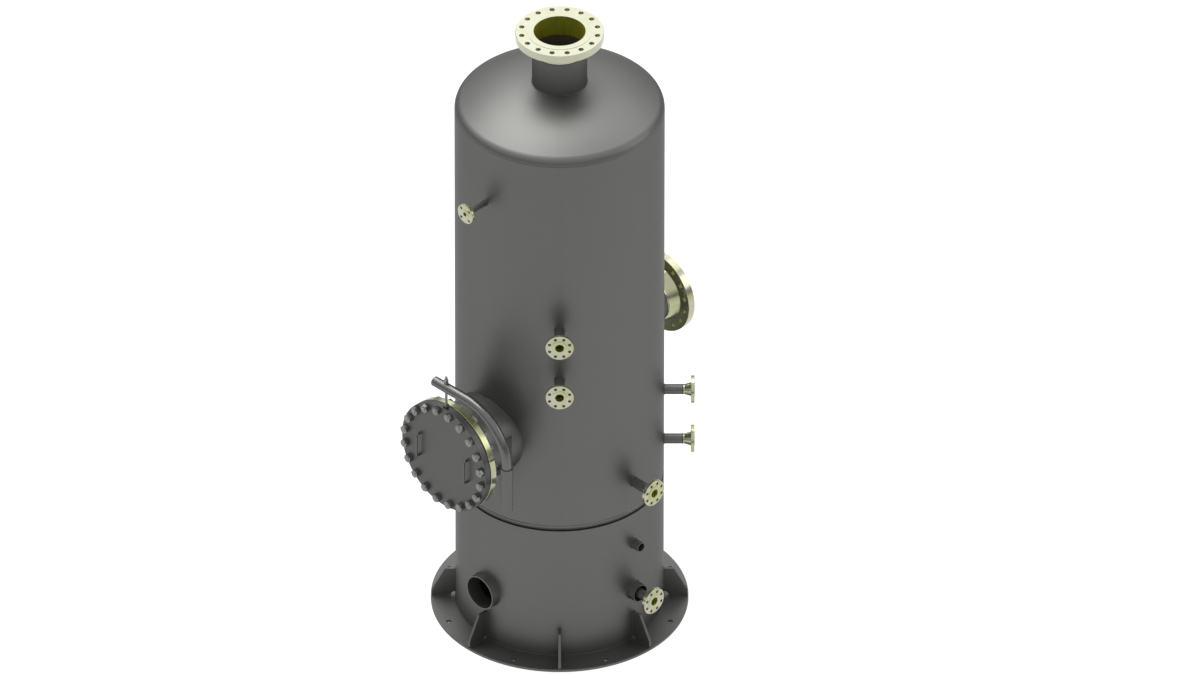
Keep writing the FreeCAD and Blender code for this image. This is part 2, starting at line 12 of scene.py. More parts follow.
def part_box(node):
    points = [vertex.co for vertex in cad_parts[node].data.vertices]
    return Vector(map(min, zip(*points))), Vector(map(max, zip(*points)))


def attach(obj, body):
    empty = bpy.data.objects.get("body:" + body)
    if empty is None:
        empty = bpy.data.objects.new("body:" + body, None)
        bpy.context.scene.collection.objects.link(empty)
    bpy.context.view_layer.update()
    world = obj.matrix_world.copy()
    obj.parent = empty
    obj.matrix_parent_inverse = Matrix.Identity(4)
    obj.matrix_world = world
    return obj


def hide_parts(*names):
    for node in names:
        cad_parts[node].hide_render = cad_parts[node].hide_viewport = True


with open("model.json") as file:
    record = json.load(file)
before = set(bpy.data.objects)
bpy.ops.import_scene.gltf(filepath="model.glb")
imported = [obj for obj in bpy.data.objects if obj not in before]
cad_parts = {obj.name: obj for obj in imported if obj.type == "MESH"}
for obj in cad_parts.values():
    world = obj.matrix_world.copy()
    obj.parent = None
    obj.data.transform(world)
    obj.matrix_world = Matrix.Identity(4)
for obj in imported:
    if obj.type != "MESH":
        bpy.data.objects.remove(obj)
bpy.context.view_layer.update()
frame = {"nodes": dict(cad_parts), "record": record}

bl_info = {
    "name": "Gas scrubber vessel",
    "version": (1, 0, 0),
    "blender": (4, 5, 0),
    "location": "View3D > Sidebar > Scrubber",
    "description": "Finishes, welds, bolting and stage for the gas scrubber vessel",
    "category": "Object",
}

RECORD = frame["record"]
MOUNTS = {mount["name"]: mount for mount in RECORD["mounts"]}
SLOTS = {part["node"]: part["material_slot"] for part in RECORD["subparts"]}
SHELL_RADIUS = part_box("skirt")[1].x
UP = Vector((0, 0, 1))
MANWAY_SIDE = Vector((0, -1, 0))
DRAIN_SIDE = Vector((1, 0, 0))
MM_PER_M = 1000

# Least component of a nozzle's axis that lies along X or Y, where the slanting ones have 0.71
ALONG_AXIS = 0.99

# The manway's bolting, as the solids have it
MANWAY_STUDS = 20
BOLT_CIRCLE_RADIUS = 0.3175
STUD_RADIUS = 0.0143
NUT_FLATS = 0.046

# The studs' thread as a share of its pitch, their ends in depths of thread, and the nuts' flat faces
THREAD_DEPTH_SHARE = 0.6
STUD_END_DEPTHS = 1.5
NUT_FACE_SHARE = 0.95
NUT_CHAMFER = math.radians(30)

# The lifting rod's thread, and its end: a little above the solid, with its edge turned off
ROD_THREAD_PITCH = 0.002
ROD_THREAD_DEPTH = 0.0009
ROD_THREAD_RISE = 0.0003
ROD_END_RISE = 0.0002
ROD_END_CHAMFER = 0.0008

# How cloudy the outlet flange's plating is, where the other flanges have 1; kept low, it makes the
# outlet's plating paler, which is painted light for the bright light on its upward face
OUTLET_CLOUDS_PAINTED_PALE = 0.3

# Finishes that are a share of a set colour, and the roughness over the weld beads: the darker paints of the
# weld beads and of the cover are painted shade, the darker clouds of the bolting and the inner steel vary at
# random
BEAD_PAINTED_SHADE = 0.7
COVER_PAINTED_SHADE = 0.88
BOLTING_CLOUD_SHADE = 0.8
INNER_CLOUD_SHADE = 0.82
BEAD_ROUGHNESS = 0.6

# Angles, in radians, past which an edge shows as a corner
MACHINED_CORNER = 0.35
BEAD_CORNER = 1.2

# Points nearer to each other, or to a cut, than this are taken as one
MERGE_DISTANCE = 1e-6
CUT_DISTANCE = 1e-5

# Facets round a bead's section, along the rings of beads and round the threads
BEAD_FACETS = 8
HANDLE_RING = 24
PIPE_RING = 48
NECK_RING = 72
VESSEL_RING = 96
STUD_FACETS = 20
ROD_FACETS = 24

# The bead over the skirt's joint with the bottom head, how far the outlet's bead lies below the top
# head's crown, and the gussets' drain cut-outs
SEAM_BEAD = 0.009
HEAD_BEAD_SINK = 0.0005
GUSSET_CUT = 0.030

# The floor's width, the grey that takes the shadow, and the faint grey and the glow that are seen
FLOOR_WIDTH = 40
FLOOR_MATTE = (0.8, 0.8, 0.8, 1)
FLOOR_FAINT = (0.3, 0.3, 0.3, 1)
FLOOR_GLOW = 0.86

# The lamps: the setting of each one's power, its size, its place and what it points at
HEAD = (0, 0, 3.6)
LOWER_SHELL = (0, 0, 1.8)
LAMPS = (
    ("key", 8.0, (-3.4, 0.1, 11.9), HEAD),
    ("fill", 4.0, (0.4, 3.6, 8.4), HEAD),
    ("back", 5.0, (-4.2, 4.2, 7.2), HEAD),
    ("window", 3.0, (4.8, 4.0, 4.6), LOWER_SHELL),
)

# The photograph's frame: an isometric view, this many millimetres to a pixel
PHOTO_WIDTH = 1200
PHOTO_HEIGHT = 675
MM_PER_PIXEL = 5.885
AXIS_COLUMN = 559.6
GROUND_ROW = 598.2
RISE_PER_MM = math.sqrt(2 / 3) / MM_PER_PIXEL


class ScrubberCoat(bpy.types.PropertyGroup):
    """The paint on the vessel"""
    colour: FloatVectorProperty(
        name="Paint", description="Colour of the vessel's matte paint",
        subtype="COLOR", size=3, min=0, max=1, default=(0.145, 0.145, 0.140))
    roughness: FloatProperty(
        name="Roughness", description="Roughness of the paint", subtype="FACTOR", min=0, max=1, default=0.45)
    davit_roughness: FloatProperty(
        name="Davit roughness", description="Roughness of the davit arm's glossier paint",
        subtype="FACTOR", min=0, max=1, default=0.28)
    flake: FloatProperty(
        name="Flake", description="Share of metal flake in the paint",
        subtype="FACTOR", min=0, max=1, default=0.8)
    rim: FloatProperty(
        name="Rim", description="How bright the paint gets where it is seen edge on",
        subtype="FACTOR", min=0, max=1, default=0.5)
    mottle: FloatProperty(
        name="Mottle", description="How much the paint's colour varies over the vessel",
        subtype="FACTOR", min=0, max=1, default=0.05)
    peel: FloatProperty(
        name="Peel height", description="Height of the sprayed paint's fine waves",
        subtype="DISTANCE", unit="LENGTH", min=0, default=0.00005)


class ScrubberMetals(bpy.types.PropertyGroup):
    """The bare and plated metals"""
    zinc: FloatVectorProperty(
        name="Zinc", description="Pale side of the flanges' yellow passivated zinc",
        subtype="COLOR", size=3, min=0, max=1, default=(0.49, 0.49, 0.39))
    zinc_deep: FloatVectorProperty(
        name="Deep zinc", description="Olive side of the flanges' yellow passivated zinc",
        subtype="COLOR", size=3, min=0, max=1, default=(0.38, 0.39, 0.17))
    # Painted reflection: the bore's strong yellow stands for the tint that reflections inside it give
    zinc_bore_painted_reflection: FloatVectorProperty(
        name="Bore painted reflection", description="Painted reflection: strong yellow inside the flanges' bores",
        subtype="COLOR", size=3, min=0, max=1, default=(0.85, 0.85, 0.10))
    bolting: FloatVectorProperty(
        name="Bolting", description="Colour of the studs and nuts",
        subtype="COLOR", size=3, min=0, max=1, default=(0.24, 0.24, 0.235))
    inner: FloatVectorProperty(
        name="Inner steel", description="Colour of the stainless pieces inside",
        subtype="COLOR", size=3, min=0, max=1, default=(0.50, 0.50, 0.49))
    groove_pitch: FloatProperty(
        name="Groove pitch", description="Distance between the turned grooves of a flange's face",
        subtype="DISTANCE", unit="LENGTH", min=0.0001, default=0.0012)


class ScrubberWelds(bpy.types.PropertyGroup):
    """The weld beads"""
    fillet: FloatProperty(
        name="Fillet", description="Radius of the fillet welds at necks, gussets and skirt",
        subtype="DISTANCE", unit="LENGTH", min=0.001, default=0.004)
    butt: FloatProperty(
        name="Butt", description="Radius of the bead between a neck and its flange",
        subtype="DISTANCE", unit="LENGTH", min=0.001, default=0.003)
    small: FloatProperty(
        name="Small", description="Radius of the welds at the handles' feet",
        subtype="DISTANCE", unit="LENGTH", min=0.001, default=0.003)


class ScrubberBolting(bpy.types.PropertyGroup):
    """The manway's studs and nuts"""
    thread_pitch: FloatProperty(
        name="Thread pitch", description="Pitch of the studs' thread",
        subtype="DISTANCE", unit="LENGTH", min=0.001, default=0.0032)
    thread_length: FloatProperty(
        name="Thread shown", description="Length of thread modelled at each end of a stud",
        subtype="DISTANCE", unit="LENGTH", min=0.005, default=0.020)
    chamfer_planes: IntProperty(
        name="Chamfer facets", description="Facets round a nut's chamfer", min=12, max=48, default=24)


class ScrubberStage(bpy.types.PropertyGroup):
    """The lamps, floor and camera"""
    key: FloatProperty(
        name="Key", description="Power of the big lamp overhead at the left, in watts", min=0, default=910)
    fill: FloatProperty(
        name="Fill", description="Power of the soft lamp overhead at the right, in watts", min=0, default=70)
    back: FloatProperty(
        name="Back", description="Power of the soft lamp behind the vessel, in watts", min=0, default=60)
    window: FloatProperty(
        name="Window", description="Power of the lamp low at the right, in watts", min=0, default=50)
    sky: FloatProperty(
        name="Sky", description="Brightness of the even light all round", min=0, default=0.55)
    horizon: FloatProperty(
        name="Horizon", description="Brightness of the surround's horizon as metal shows it",
        min=0, default=0.2)
    camera_distance: FloatProperty(
        name="Camera distance", description="Distance of the camera, so far that the view is nearly parallel",
        subtype="DISTANCE", unit="LENGTH", min=10, default=170)


class ScrubberSettings(bpy.types.PropertyGroup):
    """All the vessel's settings"""
    coat: PointerProperty(type=ScrubberCoat)
    metals: PointerProperty(type=ScrubberMetals)
    welds: PointerProperty(type=ScrubberWelds)
    bolting: PointerProperty(type=ScrubberBolting)
    stage: PointerProperty(type=ScrubberStage)


def settings():
    return bpy.context.scene.scrubber


def add(tree, kind, inputs=None, **attributes):
    """A new node, with its attributes and its inputs set or linked."""
    made = tree.nodes.new(kind)
    for name, value in attributes.items():
        setattr(made, name, value)
    for name, value in (inputs or {}).items():
        if isinstance(value, bpy.types.NodeSocket):
            tree.links.new(value, made.inputs[name])
        else:
            made.inputs[name].default_value = value
    return made


def new_group(name, inputs, outputs):
    """An empty shader group with named sockets, and its input and output nodes."""
    tree = bpy.data.node_groups.new(name, "ShaderNodeTree")
    for socket, kind, value in inputs:
        made = tree.interface.new_socket(socket, in_out="INPUT", socket_type="NodeSocket" + kind)
        if value is not None:
            made.default_value = value
    for socket, kind in outputs:
        tree.interface.new_socket(socket, in_out="OUTPUT", socket_type="NodeSocket" + kind)
    return tree, tree.nodes.new("NodeGroupInput").outputs, tree.nodes.new("NodeGroupOutput")


def sprayed_coat_group():
    """Paint from a spray gun: slow changes of tone, and fine waves in its surface."""
    tree, given, out = new_group(
        "sprayed coat",
        [("Coordinates", "Vector", None), ("Colour", "Color", (0.1, 0.1, 0.1, 1)),
         ("Roughness", "Float", 0.4), ("Mottle", "Float", 0.1), ("Peel", "Float", 0.00005)],
        [("Colour", "Color"), ("Roughness", "Float"), ("Normal", "Vector")])
    slow = add(tree, "ShaderNodeTexNoise", {
        "Vector": given["Coordinates"], "Scale": 1.7, "Detail": 4.0, "Roughness": 0.55})
    specks = add(tree, "ShaderNodeTexNoise", {
        "Vector": given["Coordinates"], "Scale": 38.0, "Detail": 3.0, "Roughness": 0.6})
    both = add(tree, "ShaderNodeMix", {"Factor": 0.3, "A": slow.outputs["Fac"], "B": specks.outputs["Fac"]})
    swing = add(tree, "ShaderNodeMath", {0: both.outputs["Result"], 1: 0.5}, operation="SUBTRACT")
    scaled = add(tree, "ShaderNodeMath", {0: swing.outputs[0], 1: given["Mottle"]}, operation="MULTIPLY")
    factor = add(tree, "ShaderNodeMath", {0: scaled.outputs[0], 1: 2.0, 2: 1.0}, operation="MULTIPLY_ADD")
    toned = add(tree, "ShaderNodeVectorMath", {
        0: given["Colour"], "Scale": factor.outputs[0]}, operation="SCALE")
    rough = add(tree, "ShaderNodeMath", {0: swing.outputs[0], 1: 0.16, 2: given["Roughness"]},
                operation="MULTIPLY_ADD")
    waves = add(tree, "ShaderNodeTexNoise", {
        "Vector": given["Coordinates"], "Scale": 240.0, "Detail": 2.0, "Roughness": 0.5})
    bump = add(tree, "ShaderNodeBump", {
        "Strength": 0.6, "Distance": given["Peel"], "Height": waves.outputs["Fac"]})
    tree.links.new(toned.outputs["Vector"], out.inputs["Colour"])
    tree.links.new(rough.outputs[0], out.inputs["Roughness"])
    tree.links.new(bump.outputs["Normal"], out.inputs["Normal"])
    return tree


def passivated_zinc_group():
    """Yellow passivated plating: cloudy, from pale to olive, with fine grain, and a painted reflection on a
    bore's walls.
    """
    tree, given, out = new_group(
        "passivated zinc",
        [("Coordinates", "Vector", None), ("Pale", "Color", (0.6, 0.6, 0.4, 1)),
         ("Deep", "Color", (0.4, 0.4, 0.2, 1)), ("Bore", "Color", (0.8, 0.8, 0.1, 1)),
         ("Within", "Float", 0.0), ("Roughness", "Float", 0.3)],
        [("Colour", "Color"), ("Roughness", "Float")])
    clouds = add(tree, "ShaderNodeTexNoise", {
        "Vector": given["Coordinates"], "Scale": 7.0, "Detail": 5.0, "Roughness": 0.6, "Distortion": 0.8})
    grain = add(tree, "ShaderNodeTexNoise", {
        "Vector": given["Coordinates"], "Scale": 160.0, "Detail": 3.0, "Roughness": 0.7})
    share = add(tree, "ShaderNodeMapRange", {
        "Value": clouds.outputs["Fac"], "From Min": 0.38, "From Max": 0.72})
    tint = add(tree, "ShaderNodeMix", {
        "Factor": share.outputs["Result"], "A": given["Pale"], "B": given["Deep"]}, data_type="RGBA")
    # Painted reflection: on a bore's walls the colour turns to the strong yellow that reflections between the
    # walls give
    lined = add(tree, "ShaderNodeMix", {
        "Factor": given["Within"], "A": tint.outputs["Result"], "B": given["Bore"]}, data_type="RGBA")
    speckle = add(tree, "ShaderNodeMapRange", {
        "Value": grain.outputs["Fac"], "To Min": 0.94, "To Max": 1.06})
    toned = add(tree, "ShaderNodeVectorMath", {
        0: lined.outputs["Result"], "Scale": speckle.outputs["Result"]}, operation="SCALE")
    centred = add(tree, "ShaderNodeMath", {0: grain.outputs["Fac"], 1: 0.5}, operation="SUBTRACT")
    rough = add(tree, "ShaderNodeMath", {0: centred.outputs[0], 1: 0.2, 2: given["Roughness"]},
                operation="MULTIPLY_ADD")
    tree.links.new(toned.outputs["Vector"], out.inputs["Colour"])
    tree.links.new(rough.outputs[0], out.inputs["Roughness"])
    return tree


def turned_grooves_group():
    """Fine concentric tool marks about the local Z axis."""
    tree, given, out = new_group(
        "turned grooves",
        [("Coordinates", "Vector", None), ("Pitch", "Float", 0.001), ("Depth", "Float", 0.00004)],
        [("Normal", "Vector")])
    parts = add(tree, "ShaderNodeSeparateXYZ", {"Vector": given["Coordinates"]})
    flat = add(tree, "ShaderNodeCombineXYZ", {"X": parts.outputs["X"], "Y": parts.outputs["Y"]})
    radius = add(tree, "ShaderNodeVectorMath", {0: flat.outputs["Vector"]}, operation="LENGTH")
    turns = add(tree, "ShaderNodeMath", {0: radius.outputs["Value"], 1: given["Pitch"]}, operation="DIVIDE")
    wave = add(tree, "ShaderNodeMath", {0: turns.outputs[0], 1: 1.0}, operation="PINGPONG")
    bump = add(tree, "ShaderNodeBump", {
        "Strength": 0.5, "Distance": given["Depth"], "Height": wave.outputs[0]})
    tree.links.new(bump.outputs["Normal"], out.inputs["Normal"])
    return tree


def inward_faces_group():
    """How squarely a face within reach looks towards the local Z axis, as a bore's wall does."""
    tree, given, out = new_group(
        "inward faces",
        [("Coordinates", "Vector", None), ("Normal", "Vector", None), ("Reach", "Float", 0.1)],
        [("Share", "Float")])
    flat = add(tree, "ShaderNodeVectorMath", {0: given["Coordinates"], 1: (1, 1, 0)}, operation="MULTIPLY")
    outward = add(tree, "ShaderNodeVectorMath", {0: flat.outputs["Vector"]}, operation="NORMALIZE")
    lean = add(tree, "ShaderNodeVectorMath", {
        0: outward.outputs["Vector"], 1: given["Normal"]}, operation="DOT_PRODUCT")
    radius = add(tree, "ShaderNodeVectorMath", {0: flat.outputs["Vector"]}, operation="LENGTH")
    near = add(tree, "ShaderNodeMath", {0: radius.outputs["Value"], 1: given["Reach"]}, operation="LESS_THAN")
    squarely = add(tree, "ShaderNodeMapRange", {
        "Value": lean.outputs["Value"], "From Min": -0.3, "From Max": -0.7})
    share = add(tree, "ShaderNodeMath", {
        0: squarely.outputs["Result"], 1: near.outputs[0]}, operation="MULTIPLY")
    tree.links.new(share.outputs[0], out.inputs["Share"])
    return tree


def bead_ripple_group():
    """Small scales along a weld bead."""
    tree, given, out = new_group(
        "bead ripple", [("Coordinates", "Vector", None), ("Height", "Float", 0.0006)], [("Normal", "Vector")])
    ripple = add(tree, "ShaderNodeTexVoronoi", {"Vector": given["Coordinates"], "Scale": 190.0},
                 feature="SMOOTH_F1")
    bump = add(tree, "ShaderNodeBump", {
        "Strength": 0.7, "Distance": given["Height"], "Height": ripple.outputs["Distance"]})
    tree.links.new(bump.outputs["Normal"], out.inputs["Normal"])
    return tree


def blank_material(name):
    """A node material with its shader, and the piece's own coordinates."""
    made = bpy.data.materials.new(name)
    made.use_nodes = True
    tree = made.node_tree
    shader = next(node for node in tree.nodes if node.type == "BSDF_PRINCIPLED")
    coordinates = tree.nodes.new("ShaderNodeTexCoord").outputs["Object"]
    return made, tree, shader, coordinates


def fill_group(tree, group, inputs):
    return add(tree, "ShaderNodeGroup", inputs, node_tree=group)


def colour4(value):
    return (*value, 1.0)


def shade(colour, share):
    """A colour at a share of its brightness."""
    return [part * share for part in colour]


def coat_material(name, group, colour, roughness, ripple=None):
    """Matte paint, with a weld's ripple under it where one is given."""
    coat = settings().coat
    made, tree, shader, coordinates = blank_material(name)
    paint = fill_group(tree, group, {
        "Coordinates": coordinates, "Colour": colour4(colour), "Roughness": roughness,
        "Mottle": coat.mottle, "Peel": coat.peel})
    tree.links.new(paint.outputs["Colour"], shader.inputs["Base Color"])
    tree.links.new(paint.outputs["Roughness"], shader.inputs["Roughness"])
    normal = paint.outputs["Normal"]
    if ripple:
        normal = fill_group(tree, ripple, {"Coordinates": coordinates}).outputs["Normal"]
    tree.links.new(normal, shader.inputs["Normal"])
    shader.inputs["Metallic"].default_value = coat.flake
    shader.inputs["Specular Tint"].default_value = colour4([coat.rim] * 3)
    shader.inputs["Specular IOR Level"].default_value = 0.25
    return made


def zinc_material(name, groups, centre, axis, reach, clouds):
    """Plated flange: its turned faces and its bore, within reach of the nozzle's axis, with a painted
    reflection in the bore, and its clouds; fewer of them make the plating paler, as painted light.
    """
    metals = settings().metals
    olive = Vector(metals.zinc).lerp(Vector(metals.zinc_deep), clouds)
    zinc, grooves, inward = groups
    made, tree, shader, coordinates = blank_material(name)
    turn = Vector(axis).rotation_difference(UP)
    shifted = add(tree, "ShaderNodeMapping", {
        "Vector": coordinates, "Rotation": turn.to_euler(),
        "Location": -(turn.to_matrix() @ Vector(centre))}, vector_type="POINT")
    facing = add(tree, "ShaderNodeMapping", {
        "Vector": tree.nodes.new("ShaderNodeNewGeometry").outputs["Normal"],
        "Rotation": turn.to_euler()}, vector_type="VECTOR")
    # The bore's walls, which take the painted reflection
    bore = fill_group(tree, inward, {
        "Coordinates": shifted.outputs["Vector"], "Normal": facing.outputs["Vector"], "Reach": reach})
    plate = fill_group(tree, zinc, {
        "Coordinates": coordinates, "Pale": colour4(metals.zinc), "Deep": colour4(olive),
        "Bore": colour4(metals.zinc_bore_painted_reflection), "Within": bore.outputs["Share"], "Roughness": 0.2})
    rings = fill_group(tree, grooves, {
        "Coordinates": shifted.outputs["Vector"], "Pitch": metals.groove_pitch})
    tree.links.new(plate.outputs["Colour"], shader.inputs["Base Color"])
    tree.links.new(plate.outputs["Roughness"], shader.inputs["Roughness"])
    tree.links.new(rings.outputs["Normal"], shader.inputs["Normal"])
    shader.inputs["Metallic"].default_value = 0.85
    return made


def bolting_material(group):
    """Plated steel of studs, nuts and the lifting rod."""
    metals = settings().metals
    made, tree, shader, coordinates = blank_material("plated bolting")
    plate = fill_group(tree, group, {
        "Coordinates": coordinates, "Pale": colour4(metals.bolting),
        "Deep": colour4(shade(metals.bolting, BOLTING_CLOUD_SHADE)), "Roughness": 0.36})
    tree.links.new(plate.outputs["Colour"], shader.inputs["Base Color"])
    tree.links.new(plate.outputs["Roughness"], shader.inputs["Roughness"])
    shader.inputs["Metallic"].default_value = 0.8
    return made


def inner_steel_material(group):
    """Bare stainless plate and bar inside the vessel."""
    metals = settings().metals
    made, tree, shader, coordinates = blank_material("inner stainless")
    plate = fill_group(tree, group, {
        "Coordinates": coordinates, "Pale": colour4(metals.inner),
        "Deep": colour4(shade(metals.inner, INNER_CLOUD_SHADE)), "Roughness": 0.42})
    stretched = add(tree, "ShaderNodeMapping", {"Vector": coordinates, "Scale": (4.0, 4.0, 300.0)})
    lines = add(tree, "ShaderNodeTexNoise", {"Vector": stretched.outputs["Vector"], "Scale": 6.0})
    bump = add(tree, "ShaderNodeBump", {"Strength": 0.25, "Distance": 0.0001, "Height": lines.outputs["Fac"]})
    tree.links.new(plate.outputs["Colour"], shader.inputs["Base Color"])
    tree.links.new(plate.outputs["Roughness"], shader.inputs["Roughness"])
    tree.links.new(bump.outputs["Normal"], shader.inputs["Normal"])
    shader.inputs["Metallic"].default_value = 1.0
    return made


def gasket_material():
    """Dark pressed-fibre sheet."""
    made, tree, shader, coordinates = blank_material("gasket sheet")
    fibres = add(tree, "ShaderNodeTexNoise", {
        "Vector": coordinates, "Scale": 420.0, "Detail": 4.0, "Distortion": 1.5})
    ramp = add(tree, "ShaderNodeMix", {
        "Factor": fibres.outputs["Fac"], "A": (0.02, 0.02, 0.022, 1), "B": (0.07, 0.07, 0.068, 1)},
        data_type="RGBA")
    bump = add(tree, "ShaderNodeBump", {"Strength": 0.5, "Distance": 0.0002, "Height": fibres.outputs["Fac"]})
    tree.links.new(ramp.outputs["Result"], shader.inputs["Base Color"])
    tree.links.new(bump.outputs["Normal"], shader.inputs["Normal"])
    shader.inputs["Roughness"].default_value = 0.85
    return made


def wire_mesh_material():
    """Knitted wire: crossed crimped strands over dark gaps, which are painted shade."""
    made, tree, shader, coordinates = blank_material("knitted wire")
    strands = []
    for turn in (0.6, -0.6):
        turned = add(tree, "ShaderNodeMapping", {"Vector": coordinates, "Rotation": (0.4, turn, turn)})
        strands.append(add(tree, "ShaderNodeTexWave", {
            "Vector": turned.outputs["Vector"], "Scale": 70.0, "Distortion": 6.0, "Detail": 2.0,
            "Detail Scale": 1.5}))
    top = add(tree, "ShaderNodeMath", {
        0: strands[0].outputs["Fac"], 1: strands[1].outputs["Fac"]}, operation="MAXIMUM")
    # Painted shade: near black between the strands, where the pad's inner layers lie in shade
    tone = add(tree, "ShaderNodeMix", {
        "Factor": top.outputs[0], "A": (0.03, 0.03, 0.03, 1), "B": (0.5, 0.5, 0.48, 1)}, data_type="RGBA")
    bump = add(tree, "ShaderNodeBump", {"Strength": 1.0, "Distance": 0.002, "Height": top.outputs[0]})
    tree.links.new(tone.outputs["Result"], shader.inputs["Base Color"])
    tree.links.new(bump.outputs["Normal"], shader.inputs["Normal"])
    shader.inputs["Metallic"].default_value = 0.6
    shader.inputs["Roughness"].default_value = 0.45
    return made


def mount_place(name):
    """(centre, outward axis) of a mount, as vectors."""
    mount = MOUNTS[name]
    return Vector(mount["pos_m"]), Vector(mount["axis"])


def flange_material(node, groups):
    """The plating of one flange, laid out about its own axis."""
    stem = node.replace("_flange", "")
    if stem == "manway":
        low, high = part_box(node)
        centre, axis = (low + high) / 2, MANWAY_SIDE
        reach = BOLT_CIRCLE_RADIUS - 2 * STUD_RADIUS
    else:
        centre, axis = mount_place(stem + "_bolts")
        holes = MOUNTS[stem + "_bolts"]["dims"]
        reach = (holes["pcd_mm"] / 2 - 2 * holes["hole_r_mm"]) / MM_PER_M
    # Painted light: the outlet's plating is made paler, for the bright light on its upward face
    clouds = OUTLET_CLOUDS_PAINTED_PALE if stem == "outlet" else 1
    return zinc_material(stem + " zinc", groups, centre, axis, reach, clouds)


def dress(node, material):
    """Give a CAD node its finish."""
    slots = frame["nodes"][node].data.materials
    slots.clear()
    slots.append(material)


class SCRUBBER_OT_finishes(bpy.types.Operator):
    """Give every CAD piece its paint, plating or bare metal"""
    bl_idname = "scrubber.finishes"
    bl_label = "Finishes"

    def execute(self, context):
        coat = settings().coat
        sprayed = sprayed_coat_group()
        zinc = passivated_zinc_group()
        flange_groups = (zinc, turned_grooves_group(), inward_faces_group())
        paint = coat_material("vessel paint", sprayed, coat.colour, coat.roughness)
        # Painted shade: the weld beads' paint is darker than the vessel's, for the shade in the creases where
        # they lie
        coat_material(
            "weld bead paint", sprayed, shade(coat.colour, BEAD_PAINTED_SHADE), BEAD_ROUGHNESS, bead_ripple_group())
        by_slot = {
            "vessel_paint": paint,
            # Painted shade: the cover's paint is darker than the vessel's, for the shade on the cover's face
            "cover_paint": coat_material(
                "cover paint", sprayed, shade(coat.colour, COVER_PAINTED_SHADE), coat.roughness),
            "bolting": bolting_material(zinc),
            "gasket": gasket_material(),
            "inner_steel": inner_steel_material(zinc),
            "wire_mesh": wire_mesh_material(),
        }
        davit_paint = coat_material("davit paint", sprayed, coat.colour, coat.davit_roughness)
        for node in frame["nodes"]:
            slot = SLOTS[node]
            if node == "davit_arm":
                dress(node, davit_paint)
            elif slot == "flange_zinc":
                dress(node, flange_material(node, flange_groups))
            else:
                dress(node, by_slot[slot])
        return {"FINISHED"}


def finish_piece(name, bm, material, replaced=()):
    """Make a bmesh an object that rides with the vessel."""
    bmesh.ops.recalc_face_normals(bm, faces=bm.faces)
    mesh = bpy.data.meshes.new(name)
    bm.to_mesh(mesh)
    bm.free()
    mesh.materials.append(bpy.data.materials[material])
    piece = bpy.data.objects.new(name, mesh)
    bpy.context.scene.collection.objects.link(piece)
    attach(piece, "root")
    if replaced:
        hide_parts(*replaced)
    return piece


def smooth(piece, angle):
    """Shade the faces smooth, with edges sharp past the angle."""
    mesh = piece.data
    mesh.shade_smooth()
    mesh.set_sharp_from_angle(angle=angle)


def place(outward, origin):
    """Matrix that lays a shape built along +Z on a level outward axis, its X level and its Y up."""
    across = UP.cross(outward)
    turn = Matrix((across.normalized(), UP, outward)).transposed()
    return Matrix.Translation(origin) @ turn.to_4x4()


def spin_profile(bm, points, steps):
    """Turn an open profile of (radius, height) points about Z into a closed skin."""
    verts = [bm.verts.new((radius, 0, height)) for radius, height in points]
    edges = [bm.edges.new(pair) for pair in zip(verts, verts[1:])]
    bmesh.ops.spin(
        bm, geom=verts + edges, cent=(0, 0, 0), axis=(0, 0, 1), dvec=(0, 0, 0),
        angle=2 * math.pi, steps=steps, use_merge=True)
    bmesh.ops.remove_doubles(bm, verts=bm.verts, dist=MERGE_DISTANCE)


def ring(bm, radius, bead, steps):
    """A ring about Z with a round section."""
    start = bmesh.ops.create_circle(
        bm, segments=BEAD_FACETS, radius=bead,
        matrix=Matrix.Translation((radius, 0, 0)) @ Matrix.Rotation(math.pi / 2, 4, "X"))["verts"]
    edges = {edge for vert in start for edge in vert.link_edges}
    bmesh.ops.spin(
        bm, geom=list(start) + list(edges), cent=(0, 0, 0), axis=(0, 0, 1), dvec=(0, 0, 0),
        angle=2 * math.pi, steps=steps, use_merge=True)


def add_copy(bm, build, matrix):
    """Build a shape in a bmesh of its own, put it in place and add it."""
    made = bmesh.new()
    build(made)
    bmesh.ops.remove_doubles(made, verts=made.verts, dist=MERGE_DISTANCE)
    bmesh.ops.recalc_face_normals(made, faces=made.faces)
    bmesh.ops.transform(made, matrix=matrix, verts=made.verts)
    mesh = bpy.data.meshes.new("part")
    made.to_mesh(mesh)
    made.free()
    bm.from_mesh(mesh)
    bpy.data.meshes.remove(mesh)


def saddle_ring(radius, bead, steps=NECK_RING):
    """Builder of a ring that follows the line where a pipe meets the round shell or skirt."""
    def build(bm):
        ring(bm, radius, bead, steps)
        for vert in bm.verts:
            vert.co.z += math.sqrt(SHELL_RADIUS ** 2 - vert.co.x ** 2)
    return build


def flat_ring(radius, bead, height, steps=NECK_RING):
    """Builder of a ring at a height."""
    def build(bm):
        ring(bm, radius, bead, steps)
        bmesh.ops.translate(bm, verts=bm.verts, vec=(0, 0, height))
    return build


def butt_ring(radius, height, steps=NECK_RING):
    """Builder of the bead between a neck and its flange, which stands a little out of the pipe."""
    butt = settings().welds.butt
    return flat_ring(radius - butt / 3, butt, height, steps)


def straight_bead(bm, start, end, bead):
    """A straight round bead between two points."""
    run = end - start
    turn = UP.rotation_difference(run).to_matrix().to_4x4()
    bmesh.ops.create_cone(
        bm, cap_ends=True, segments=BEAD_FACETS, radius1=bead, radius2=bead, depth=run.length,
        matrix=Matrix.Translation((start + end) / 2) @ turn)


